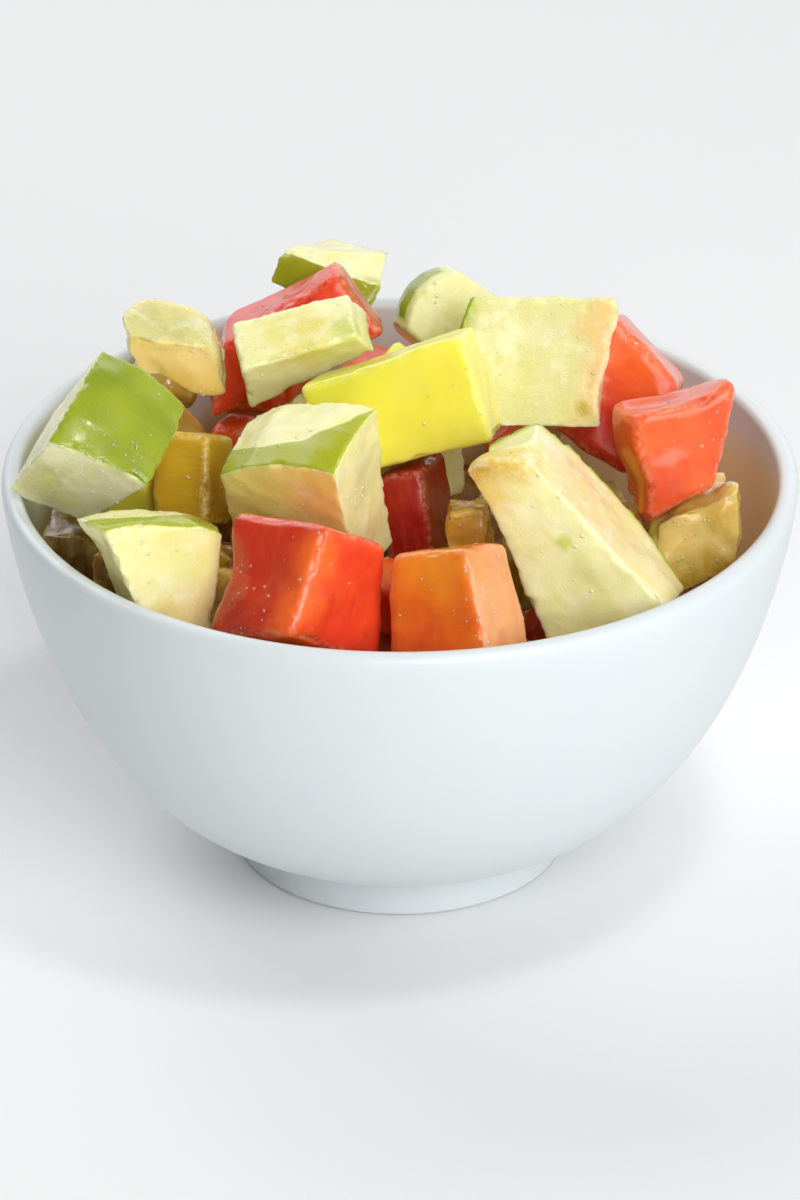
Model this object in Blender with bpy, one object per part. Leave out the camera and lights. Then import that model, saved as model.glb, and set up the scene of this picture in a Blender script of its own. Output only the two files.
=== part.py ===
# Fruit salad in a porcelain bowl: chunks of apple, papaya, mango and pineapple.
# Metres, +Z up. The origin is the middle of the foot ring, on the table.
# Chunk sizes and places are given in millimetres and turned into metres by MM.

import math

import bmesh
import bpy
from mathutils import Euler, Vector

MM = 0.001

# ---- bowl, in metres ----
BOWL_RADIUS = 0.065
BOWL_HEIGHT = 0.0684
WALL = 0.0033
BODY_BOTTOM = 0.0048       # where the body's outer curve would reach the axis
FLOOR_TOP = 0.0085         # where its inner curve does
CURVE_HEIGHT_POWER = 1.4   # the body's outline is a superellipse with these two powers
CURVE_RADIUS_POWER = 3.5
FOOT_RADIUS = 0.0270
FOOT_NECK_RADIUS = 0.0268  # where the foot meets the body
FOOT_NECK_HEIGHT = 0.0066
FOOT_RING_WIDTH = 0.0040
FOOT_RECESS_DEPTH = 0.0030
FOOT_EDGE = 0.0006         # chamfer under the foot ring
BOWL_SIDES = 64
BODY_STEPS = 11            # rows of faces from the foot to the lip, on each side
LIP_STEPS = 4

# ---- core under the visible fruit ----
CORE_GAP = 0.0006          # between the core and the bowl's inside
CORE_EDGE_HEIGHT = 0.0450
CORE_CROWN = 0.0090        # how much higher its middle is
CORE_SIDES = 40
CORE_STEPS = 7             # rows of faces up its side, and over its crown
CROWN_STEPS = 4

# ---- chunks ----
SKIN_RADIUS = 38.0         # mm, an apple's radius: the skin side of a chunk is a piece of it
SKIN_CELLS = 4             # the skin side is a grid of this many cells each way
PAPAYA_EDGE = 1.6          # mm, how round the cut edges are: soft papaya has the roundest
MANGO_EDGE = 0.9
APPLE_EDGE = 0.5
EDGE_SEGMENTS = 2
LOBE_CELLS = 4             # grid of a pineapple chunk's side
LOBE_DEPTH = 0.07          # how deep the valley between two lobes is, as a share of the size
LOBE_BALL = 1.3            # pineapple is part block and part ball: the ball's size in half blocks
LOBE_ROUNDING = 0.30       # and the ball's share
STRAIGHT = (1.0, 1.0)      # a chunk that doesn't narrow
UPRIGHT = (0.0, 0.0)       # a chunk that doesn't lean

# ---- shading: faces that meet at less than this angle, in degrees, look smooth ----
BOWL_SMOOTH = 50
APPLE_SMOOTH = 25
SOFT_SMOOTH = 60


def clear_scene():
    for existing in list(bpy.data.objects):
        bpy.data.objects.remove(existing, do_unlink=True)


def material(name, colour, roughness):
    """A plain Principled material; nothing in this dish is metal."""
    made = bpy.data.materials.new(name)
    made.use_nodes = True
    shader = made.node_tree.nodes["Principled BSDF"]
    shader.inputs["Base Color"].default_value = (*colour, 1.0)
    shader.inputs["Roughness"].default_value = roughness
    shader.inputs["Metallic"].default_value = 0.0
    made.diffuse_color = (*colour, 1.0)
    return made


def add_object(name, mesh_data, look, smooth_angle):
    mesh = bpy.data.meshes.new(name)
    mesh_data.to_mesh(mesh)
    mesh_data.free()
    mesh.shade_smooth()
    mesh.set_sharp_from_angle(angle=math.radians(smooth_angle))
    mesh.materials.append(look)
    made = bpy.data.objects.new(name, mesh)
    bpy.context.scene.collection.objects.link(made)
    return made


# ---- turned pieces: bowl and core ----

def turned(outline, sides):
    """Turn a closed (radius, height) outline about Z.

    The outline starts and ends on the axis, and runs up its outer side.
    """
    mesh = bmesh.new()
    rings = []
    for radius, height in outline:
        if radius == 0.0:
            rings.append([mesh.verts.new((0.0, 0.0, height))])
            continue
        ring = []
        for side in range(sides):
            angle = 2.0 * math.pi * side / sides
            ring.append(mesh.verts.new((radius * math.cos(angle), radius * math.sin(angle), height)))
        rings.append(ring)
    for lower, upper in zip(rings, rings[1:]):
        for side in range(sides):
            after = (side + 1) % sides
            if len(lower) == 1:
                mesh.faces.new((lower[0], upper[after], upper[side]))
            elif len(upper) == 1:
                mesh.faces.new((lower[side], lower[after], upper[0]))
            else:
                mesh.faces.new((lower[side], lower[after], upper[after], upper[side]))
    return mesh


def body_radius(height, full_radius, bottom):
    """Radius of the bowl's body at a height, outside or inside."""
    share_left = (BOWL_HEIGHT - height) / (BOWL_HEIGHT - bottom)
    inner = max(0.0, 1.0 - share_left ** CURVE_HEIGHT_POWER)
    return full_radius * inner ** (1.0 / CURVE_RADIUS_POWER)


def body_height(radius, full_radius, bottom):
    """Height of the bowl's body at a radius: the same curve, solved the other way."""
    inner = 1.0 - (radius / full_radius) ** CURVE_RADIUS_POWER
    share_left = inner ** (1.0 / CURVE_HEIGHT_POWER)
    return BOWL_HEIGHT - share_left * (BOWL_HEIGHT - bottom)


def bowl_outline():
    ring_inside = FOOT_RADIUS - FOOT_RING_WIDTH
    outline = [
        (0.0, FOOT_RECESS_DEPTH),
        (ring_inside - FOOT_EDGE, FOOT_RECESS_DEPTH),
        (ring_inside, FOOT_EDGE),
        (ring_inside + FOOT_EDGE, 0.0),
        (FOOT_RADIUS - FOOT_EDGE, 0.0),
        (FOOT_RADIUS, FOOT_EDGE),
        (FOOT_NECK_RADIUS, FOOT_NECK_HEIGHT),
    ]
    lip_radius = WALL / 2.0
    lip_height = BOWL_HEIGHT - lip_radius
    # outside of the body, rising from the foot to the lip
    start = body_height(FOOT_NECK_RADIUS, BOWL_RADIUS, BODY_BOTTOM) + FOOT_EDGE
    for step in range(BODY_STEPS + 1):
        height = start + (lip_height - start) * (step / BODY_STEPS) ** CURVE_HEIGHT_POWER
        outline.append((body_radius(height, BOWL_RADIUS, BODY_BOTTOM), height))
    # round lip
    outer_edge = body_radius(lip_height, BOWL_RADIUS, BODY_BOTTOM)
    inner_edge = body_radius(lip_height, BOWL_RADIUS - WALL, FLOOR_TOP)
    lip_half = (outer_edge - inner_edge) / 2.0
    for step in range(1, LIP_STEPS):
        angle = math.pi * step / LIP_STEPS
        outline.append((
            (outer_edge + inner_edge) / 2.0 + lip_half * math.cos(angle),
            lip_height + lip_radius * math.sin(angle),
        ))
    # inside, down to the floor
    for step in range(BODY_STEPS):
        share = 1.0 - step / BODY_STEPS
        height = FLOOR_TOP + (lip_height - FLOOR_TOP) * share ** CURVE_HEIGHT_POWER
        outline.append((body_radius(height, BOWL_RADIUS - WALL, FLOOR_TOP), height))
    outline.append((0.0, FLOOR_TOP))
    return outline


def core_outline():
    """The fruit that nobody sees: the bowl's inside shape up to a crowned top."""
    full_radius = BOWL_RADIUS - WALL - CORE_GAP
    bottom = FLOOR_TOP + CORE_GAP
    outline = [(0.0, bottom)]
    for step in range(1, CORE_STEPS + 1):
        height = bottom + (CORE_EDGE_HEIGHT - bottom) * (step / CORE_STEPS) ** CURVE_HEIGHT_POWER
        outline.append((body_radius(height, full_radius, bottom), height))
    edge_radius = outline[-1][0]
    for step in reversed(range(CROWN_STEPS)):
        share = step / CROWN_STEPS
        crown = CORE_CROWN * (1.0 - share ** 2)
        outline.append((edge_radius * share, CORE_EDGE_HEIGHT + crown))
    return outline


# ---- chunks ----

def block_corner(sx, sy, sz, size, top, end, lean):
    """A corner of a cut block, at sx, sy, sz = -1 or 1 (or any point between them).

    top narrows the block in X and Y at its +Z side, end narrows it in Y and Z at its
    +X side, and lean moves the +Z side along X and Y.
    """
    up = (sz + 1.0) / 2.0
    along = (sx + 1.0) / 2.0
    x = sx * size[0] / 2.0 * (1.0 + (top[0] - 1.0) * up)
    y = sy * size[1] / 2.0 * (1.0 + (top[1] - 1.0) * up) * (1.0 + (end[0] - 1.0) * along)
    z = sz * size[2] / 2.0 * (1.0 + (end[1] - 1.0) * along)
    return Vector((x + lean[0] * up, y + lean[1] * up, z))


def cut_block(size, top, end, lean, edge):
    """A block cut with a knife, its edges rounded by edge."""
    mesh = bmesh.new()
    made = bmesh.ops.create_cube(mesh, size=2.0)
    for vert in made["verts"]:
        vert.co = block_corner(*vert.co, size, top, end, lean)
    bmesh.ops.bevel(
        mesh, geom=list(mesh.edges), offset=edge, offset_type="OFFSET",
        segments=EDGE_SEGMENTS, profile=0.5, affect="EDGES", clamp_overlap=True,
    )
    return mesh


def skin_block(size, top, end, lean, skin_radius):
    """A block whose +Z side is the fruit's round skin: a grid lifted onto a sphere."""
    mesh = bmesh.new()
    shape = (size, top, end, lean)
    corners = [block_corner(sx, sy, 1.0, *shape) for sx in (-1, 1) for sy in (-1, 1)]
    middle = sum(corners, Vector()) / 4.0
    half_x = max(abs(corner.x - middle.x) for corner in corners)
    half_y = max(abs(corner.y - middle.y) for corner in corners)
    rim_drop = math.sqrt(skin_radius ** 2 - half_x ** 2 - half_y ** 2)
    grid = []
    for column in range(SKIN_CELLS + 1):
        sx = 2.0 * column / SKIN_CELLS - 1.0
        line = []
        for row in range(SKIN_CELLS + 1):
            sy = 2.0 * row / SKIN_CELLS - 1.0
            point = block_corner(sx, sy, 1.0, *shape)
            across = (point.x - middle.x) ** 2 + (point.y - middle.y) ** 2
            point.z += max(0.0, math.sqrt(skin_radius ** 2 - across) - rim_drop)
            line.append(mesh.verts.new(point))
        grid.append(line)
    base = {}
    for sx in (-1, 1):
        for sy in (-1, 1):
            base[sx, sy] = mesh.verts.new(block_corner(sx, sy, -1.0, *shape))
    for column in range(SKIN_CELLS):
        for row in range(SKIN_CELLS):
            mesh.faces.new((
                grid[column][row], grid[column + 1][row],
                grid[column + 1][row + 1], grid[column][row + 1],
            ))
    front = [line[0] for line in grid]
    back = [line[-1] for line in grid]
    mesh.faces.new([base[-1, -1], base[1, -1], *reversed(front)])
    mesh.faces.new([base[1, 1], base[-1, 1], *back])
    mesh.faces.new([base[-1, 1], base[-1, -1], *grid[0]])
    mesh.faces.new([base[1, -1], base[1, 1], *reversed(grid[-1])])
    mesh.faces.new([base[-1, -1], base[-1, 1], base[1, 1], base[1, -1]])
    bmesh.ops.triangulate(mesh, faces=list(mesh.faces), ngon_method="EAR_CLIP")
    return mesh


def lobed_block(size, top, end, lean, lobes):
    """A soft rounded block with shallow valleys between its lobes, as pineapple has."""
    mesh = bmesh.new()
    bmesh.ops.create_cube(mesh, size=2.0)
    bmesh.ops.subdivide_edges(
        mesh, edges=list(mesh.edges), cuts=LOBE_CELLS - 1, use_grid_fill=True,
    )
    for vert in mesh.verts:
        on_cube = vert.co.copy()
        on_ball = on_cube.normalized() * LOBE_BALL
        rounded = on_cube.lerp(on_ball, LOBE_ROUNDING)
        valley = (1.0 + math.cos(lobes * math.pi * on_cube.x)) / 2.0
        if lobes > 1:
            rounded *= 1.0 - LOBE_DEPTH * valley * max(0.0, on_cube.z)
        rounded = Vector(max(-1.0, min(1.0, value)) for value in rounded)
        vert.co = block_corner(*rounded, size, top, end, lean)
    return mesh


def place(mesh, at, turn):
    """Turn a chunk by three angles in degrees, move it to at in mm, and make it metres."""
    turned_by = Euler([math.radians(angle) for angle in turn], "XYZ").to_matrix().to_4x4()
    for vert in mesh.verts:
        vert.co = (turned_by @ vert.co + Vector(at)) * MM


# A chunk has a size and a lean in mm, a narrowing as shares (see block_corner), the place of
# its middle in mm, and three angles that turn it.

def chunk(name, mesh, look, at, turn, smooth_angle):
    place(mesh, at, turn)
    return add_object(name, mesh, look, smooth_angle)


def apple(name, size, at, turn, top=STRAIGHT, end=STRAIGHT, lean=UPRIGHT, skin=SKIN_RADIUS):
    """An apple chunk; skin is the radius of its +Z side, or None where it has no skin."""
    if skin is None:
        mesh = cut_block(size, top, end, lean, APPLE_EDGE)
    else:
        mesh = skin_block(size, top, end, lean, skin)
    return chunk(name, mesh, LOOKS["apple"], at, turn, APPLE_SMOOTH)


def papaya(name, size, at, turn, top=STRAIGHT, end=STRAIGHT, lean=UPRIGHT, look="papaya"):
    mesh = cut_block(size, top, end, lean, PAPAYA_EDGE)
    return chunk(name, mesh, LOOKS[look], at, turn, SOFT_SMOOTH)


def mango(name, size, at, turn, top=STRAIGHT, end=STRAIGHT, lean=UPRIGHT):
    mesh = cut_block(size, top, end, lean, MANGO_EDGE)
    return chunk(name, mesh, LOOKS["mango"], at, turn, SOFT_SMOOTH)


def pineapple(name, size, at, turn, top=STRAIGHT, end=STRAIGHT, lean=UPRIGHT, lobes=2):
    mesh = lobed_block(size, top, end, lean, lobes)
    return chunk(name, mesh, LOOKS["pineapple"], at, turn, SOFT_SMOOTH)


def add_visible_chunks():
    """The chunks that make the heap's front and top, from the front to the back."""
    apple("apple_wedge_front", (32.5, 21.5, 12), at=(26.5, -32.5, 72.5), turn=(92, -57, 164),
          top=(1.1, 1.05), end=(0.45, 0.95), lean=(0, -1), skin=40)
    papaya("papaya_orange_front", (19, 15.5, 18.5), at=(8.5, -44.5, 67), turn=(-23, -17, -22),
           top=(0.75, 1), lean=(0.5, -0.5), look="papaya_orange")
    papaya("papaya_front", (19.5, 21, 21), at=(-15.5, -40.5, 67.5), turn=(-33, -15, -40),
           top=(0.95, 0.65), end=(1.1, 0.9), lean=(3, -2.5))
    apple("apple_front_left", (13, 8.5, 14.5), at=(-35.5, -36, 67.5), turn=(-8, 17, 23),
          top=(1.65, 1), end=(0.9, 1.2), lean=(-5.5, 1), skin=34)
    papaya("papaya_right", (12, 16, 17), at=(42, -9.5, 77), turn=(-13, -9, 18),
           top=(1.4, 0.75), end=(0.95, 0.9), lean=(5, -1.5))
    pineapple("pineapple_right", (15.5, 17, 15), at=(45.5, -10.5, 61.5), turn=(-10, -21, 7),
              top=(1, 1.05), end=(1, 0.85), lean=(4.5, 0))
    apple("apple_left", (14, 18.5, 19), at=(-51, -10, 78.5), turn=(22, 26, -13),
          top=(1.25, 1.2), end=(0.85, 0.95), lean=(4, 0.5))
    mango("mango_left", (10.5, 10, 14.5), at=(-33, -5, 69.5), turn=(-27, -7, -27),
          end=(0.95, 1), lean=(-2, 1))
    apple("apple_middle", (21.5, 11.5, 18.5), at=(-16, -18.5, 73), turn=(16, -5, -26),
          top=(1.05, 1.35), end=(1.1, 1.5), lean=(2, 0), skin=30)
    pineapple("pineapple_deep_middle", (9, 13, 9), at=(11, -19.5, 67.5), turn=(-13, -3, -3),
              top=(0.8, 1), end=(1.05, 1), lean=(0, -0.5), lobes=1)
    papaya("papaya_deep_middle", (9, 14, 15.5), at=(2, -6.5, 64.5), turn=(-11, -17, -13),
           lean=(1, 1))
    pineapple("pineapple_deep_left", (8.5, 11, 11), at=(-52, -6, 58), turn=(6, -2, -11),
              top=(1.05, 0.95), end=(1.05, 0.95), lean=(-1.5, -1), lobes=1)
    pineapple("pineapple_deep_front_left", (8, 12, 11), at=(-45, -25, 64.5), turn=(10, -5, -31),
              top=(0.9, 1), end=(1, 1.15), lean=(2, 0), lobes=1)
    mango("mango_middle", (26.5, 12.5, 16.5), at=(1, -4.5, 82.5), turn=(-16, -20, -5),
          top=(1.05, 0.9), end=(1, 1.1), lean=(0, -1.5))
    apple("apple_right_back", (12, 20.5, 21.5), at=(22.5, 8.5, 85), turn=(85, -27, -94),
          end=(1.05, 1.1), lean=(-1, -2.5), skin=36)
    papaya("papaya_right_back", (15.5, 17, 21), at=(38, 18.5, 70.5), turn=(-28, 35, -23),
           top=(1.05, 1), end=(1, 0.85), lean=(-4, 0))
    apple("apple_middle_back", (23, 11, 11.5), at=(-16.5, 8.5, 87.5), turn=(19, -21, 2),
          top=(0.85, 1.05), end=(0.9, 0.65), lean=(0.5, -2), skin=None)
    papaya("papaya_back", (33.5, 14, 11), at=(-19.5, 22.5, 80.5), turn=(-5, -28, 1),
           top=(0.65, 1.05), end=(0.5, 1.15), lean=(3, 4))
    pineapple("pineapple_back_left", (14.5, 12, 9.5), at=(-34.5, 12, 85.5), turn=(8, 6, 2),
              top=(0.95, 1), end=(1, 0.85), lean=(-3, -1))
    apple("apple_round_back", (14, 13, 9.5), at=(8.5, 31.5, 80.5), turn=(-39, -42, 37),
          top=(0.95, 1), end=(1, 0.95), lean=(-0.5, 0), skin=12)
    apple("apple_top_back", (14, 8, 17.5), at=(-10.5, 42.5, 86.5), turn=(50, 2, -33),
          top=(1.25, 0.8), end=(1, 0.45), lean=(3.5, -6.5), skin=36)


def add_back_chunks():
    """Plainer chunks that close the heap at its back and between the others."""
    apple("apple_under_1", (17.5, 17.5, 13), at=(21.5, 40.5, 65.5), turn=(-35, 25, -65),
          top=(0.9, 0.9))
    pineapple("pineapple_under_1", (13.5, 16, 15), at=(-42.5, 21, 64.5), turn=(-25, -20, 55),
              top=(0.9, 0.9))
    apple("apple_under_2", (22, 14.5, 13.5), at=(-1, 19.5, 63.5), turn=(0, 5, -55),
          top=(1, 0.9))
    apple("apple_under_3", (15.5, 15, 12), at=(-16.5, 9, 67), turn=(-15, -55, -15),
          top=(0.9, 0.9))
    mango("mango_under_1", (13, 12.5, 11), at=(25.5, -8.5, 64), turn=(5, -30, -20),
          top=(0.9, 0.9))
    mango("mango_under_2", (19.5, 13.5, 14.5), at=(-46.5, 5, 62.5), turn=(15, -5, -20),
          top=(0.9, 0.9))
    papaya("papaya_under_1", (15.5, 13, 16), at=(-22.5, 41, 65), turn=(0, 40, 70),
           top=(1, 0.9))
    papaya("papaya_under_2", (10.5, 11, 12), at=(37, 34, 59.5), turn=(-10, 15, -35),
           top=(0.9, 1))
    pineapple("pineapple_under_2", (10, 11.5, 13.5), at=(-38.5, 38, 68.5), turn=(-20, -40, -80),
              top=(0.9, 1))
    papaya("papaya_under_3", (12.5, 9.5, 10), at=(-1, -31, 61), turn=(0, 0, -40),
           top=(0.9, 1))
    mango("mango_under_3", (12.5, 10.5, 10.5), at=(1, 10, 77.5), turn=(5, -10, 60),
          top=(0.9, 1))
    pineapple("pineapple_under_3", (9.5, 12, 9.5), at=(-25.5, -29.5, 60.5), turn=(-15, 10, 30),
              top=(0.9, 1))
    papaya("papaya_under_4", (9.5, 11, 10.5), at=(18.5, 19, 63.5), turn=(10, -20, 15),
           top=(1, 0.9))
    apple("apple_under_4", (10.5, 11.5, 9.5), at=(22, 24.5, 77), turn=(-5, -15, 60),
          top=(0.9, 0.9))
    papaya("papaya_under_5", (8.5, 7.5, 11.5), at=(-26.5, 18, 62.5), turn=(-10, 0, 60),
           top=(0.9, 0.9))
    papaya("papaya_under_6", (18, 13.5, 9.5), at=(-1, 46, 60), turn=(0, -5, -35),
           top=(1, 0.9))


clear_scene()
LOOKS = {
    "porcelain": material("porcelain", (0.86, 0.89, 0.90), 0.35),
    "core": material("mixed_fruit", (0.42, 0.20, 0.06), 0.50),
    "apple": material("apple", (0.80, 0.78, 0.42), 0.35),
    "papaya": material("papaya", (0.80, 0.13, 0.04), 0.25),
    "papaya_orange": material("papaya_orange", (0.83, 0.30, 0.04), 0.25),
    "mango": material("mango", (0.90, 0.80, 0.15), 0.30),
    "pineapple": material("pineapple", (0.72, 0.54, 0.18), 0.35),
}
add_object("bowl", turned(bowl_outline(), BOWL_SIDES), LOOKS["porcelain"], BOWL_SMOOTH)
add_object("core", turned(core_outline(), CORE_SIDES), LOOKS["core"], BOWL_SMOOTH)
add_visible_chunks()
add_back_chunks()
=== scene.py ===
"""Looks of a fruit salad in a porcelain bowl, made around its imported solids. Metres, +Z up."""

import math
import random

import bmesh
import bpy
from mathutils import Euler, Matrix, Vector, noise
from mathutils.bvhtree import BVHTree
from mathutils.kdtree import KDTree


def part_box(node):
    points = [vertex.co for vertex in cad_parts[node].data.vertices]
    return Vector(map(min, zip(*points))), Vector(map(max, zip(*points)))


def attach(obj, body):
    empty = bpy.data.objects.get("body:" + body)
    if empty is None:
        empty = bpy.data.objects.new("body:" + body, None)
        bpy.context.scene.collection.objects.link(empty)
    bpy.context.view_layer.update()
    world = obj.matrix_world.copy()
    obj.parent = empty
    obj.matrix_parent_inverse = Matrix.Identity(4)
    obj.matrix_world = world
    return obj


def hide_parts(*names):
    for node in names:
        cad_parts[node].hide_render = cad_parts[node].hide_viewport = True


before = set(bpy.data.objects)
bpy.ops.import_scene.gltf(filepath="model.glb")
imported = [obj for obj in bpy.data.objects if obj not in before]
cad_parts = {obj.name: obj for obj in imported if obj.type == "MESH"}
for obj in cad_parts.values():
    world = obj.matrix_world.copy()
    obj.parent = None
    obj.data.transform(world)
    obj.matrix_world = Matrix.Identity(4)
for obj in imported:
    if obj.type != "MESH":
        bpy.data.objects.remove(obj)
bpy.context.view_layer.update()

MM = 0.001
SCENE = bpy.context.scene
BODY = "root"

# ---- how fine the fruit is modelled ----
VOXEL = 0.50 * MM
HIDDEN_VOXEL = 0.7 * MM
WELD = 0.01 * MM
SKIN_BEND = math.radians(30.0)   # the skin side bends less than this from facet to facet

# ---- camera ----
CAMERA_ELEVATION = 27.978      # degrees above level, straight in front
CAMERA_DISTANCE = 1.5
CAMERA_AIM = 44.22 * MM        # height of what it looks at
CAMERA_LENS = 274.3            # mm

# ---- bowl: the same curve as its solid's ----
RADIUS = 65.0 * MM
HEIGHT = 68.4 * MM
WALL = 3.3 * MM
BODY_BOTTOM = 4.8 * MM
FLOOR_TOP = 8.5 * MM
HEIGHT_POWER = 1.4
RADIUS_POWER = 3.5
FOOT_RADIUS = 27.0 * MM
FOOT_NECK = 26.8 * MM
NECK_HEIGHT = 6.6 * MM
FOOT_RING = 4.0 * MM
FOOT_RECESS = 3.0 * MM
FOOT_EDGE = 0.6 * MM
BOWL_SIDES = 224
BODY_STEPS = 46
ARC_STEPS = 12
WOBBLE = 0.12 * MM         # how far a hand-turned wall is from perfectly round

# ---- each chunk's three turning angles, in degrees: local +Z is an apple chunk's skin side ----
TURNS = {
    "apple_wedge_front": (92, -57, 164),
    "papaya_orange_front": (-23, -17, -22),
    "papaya_front": (-33, -15, -40),
    "apple_front_left": (-8, 17, 23),
    "papaya_right": (-13, -9, 18),
    "pineapple_right": (-10, -21, 7),
    "apple_left": (22, 26, -13),
    "mango_left": (-27, -7, -27),
    "apple_middle": (16, -5, -26),
    "pineapple_deep_middle": (-13, -3, -3),
    "papaya_deep_middle": (-11, -17, -13),
    "pineapple_deep_left": (6, -2, -11),
    "pineapple_deep_front_left": (10, -5, -31),
    "mango_middle": (-16, -20, -5),
    "apple_right_back": (85, -27, -94),
    "papaya_right_back": (-28, 35, -23),
    "apple_middle_back": (19, -21, 2),
    "papaya_back": (-5, -28, 1),
    "pineapple_back_left": (8, 6, 2),
    "apple_round_back": (-39, -42, 37),
    "apple_top_back": (50, 2, -33),
    "apple_under_1": (-35, 25, -65),
    "pineapple_under_1": (-25, -20, 55),
    "apple_under_2": (0, 5, -55),
    "apple_under_3": (-15, -55, -15),
    "mango_under_1": (5, -30, -20),
    "mango_under_2": (15, -5, -20),
    "papaya_under_1": (0, 40, 70),
    "papaya_under_2": (-10, 15, -35),
    "pineapple_under_2": (-20, -40, -80),
    "papaya_under_3": (0, 0, -40),
    "mango_under_3": (5, -10, 60),
    "pineapple_under_3": (-15, 10, 30),
    "papaya_under_4": (10, -20, 15),
    "apple_under_4": (-5, -15, 60),
    "papaya_under_5": (-10, 0, 60),
    "papaya_under_6": (0, -5, -35),
}
SKINLESS = {"apple_middle_back"}

# ---- linear colours ----
APPLE_SKIN_DARK = (0.22, 0.30, 0.008)
APPLE_SKIN_LIGHT = (0.36, 0.43, 0.018)
# dark juice at the bottom of the gaps; its darkness is also painted shade of the gaps
JUICE_AND_GAP_SHADE = (0.11, 0.030, 0.008)
PALER_JUICE_AND_GAP_SHADE = (0.22, 0.075, 0.014)
PORCELAIN = (0.69, 0.75, 0.77)
STAIN_AND_BOUNCE = (0.90, 0.66, 0.30)     # juice on the wall inside, and painted fruit-coloured reflection and shade there
STAIN_AND_BOUNCE_SHARE = 0.85
FLOOR = (0.84, 0.84, 0.84)

# Each kind's flesh, and a second colour that drifts through it.
KIND_FLESH = {
    "apple": ((0.90, 0.86, 0.42), (0.84, 0.80, 0.30)),
    "papaya": ((0.80, 0.065, 0.015), (0.88, 0.13, 0.022)),
    "mango": ((0.92, 0.88, 0.11), (0.92, 0.84, 0.07)),
    "pineapple": ((0.66, 0.42, 0.07), (0.74, 0.54, 0.14)),
}
# A chunk's own flesh, where it isn't its kind's. The dark flesh of papaya_deep_middle,
# pineapple_deep_left and pineapple_deep_front_left is painted shade of the gaps they lie in;
# mango_left's darker golden flesh is partly painted shade.
FLESH_AND_DEEP_SHADE = {
    "papaya_orange_front": ((0.80, 0.16, 0.012), (0.84, 0.20, 0.014)),
    "papaya_right": ((0.82, 0.10, 0.018), (0.88, 0.15, 0.025)),
    "papaya_deep_middle": ((0.36, 0.012, 0.012), (0.42, 0.020, 0.012)),
    "papaya_back": ((0.80, 0.055, 0.015), (0.84, 0.075, 0.018)),
    "papaya_front": ((0.82, 0.055, 0.018), (0.88, 0.085, 0.022)),
    "mango_left": ((0.60, 0.38, 0.02), (0.56, 0.30, 0.015)),
    "pineapple_back_left": ((0.66, 0.62, 0.24), (0.76, 0.70, 0.32)),
    "pineapple_deep_left": ((0.12, 0.055, 0.006), (0.18, 0.10, 0.010)),
    "pineapple_deep_front_left": ((0.24, 0.10, 0.008), (0.34, 0.17, 0.012)),
    "pineapple_deep_middle": ((0.62, 0.32, 0.035), (0.76, 0.46, 0.08)),
    "pineapple_right": ((0.62, 0.40, 0.06), (0.72, 0.52, 0.15)),
    "apple_right_back": ((0.84, 0.80, 0.39), (0.80, 0.76, 0.30)),
    "apple_wedge_front": ((1.00, 0.98, 0.52), (0.96, 0.95, 0.46)),
}
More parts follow.
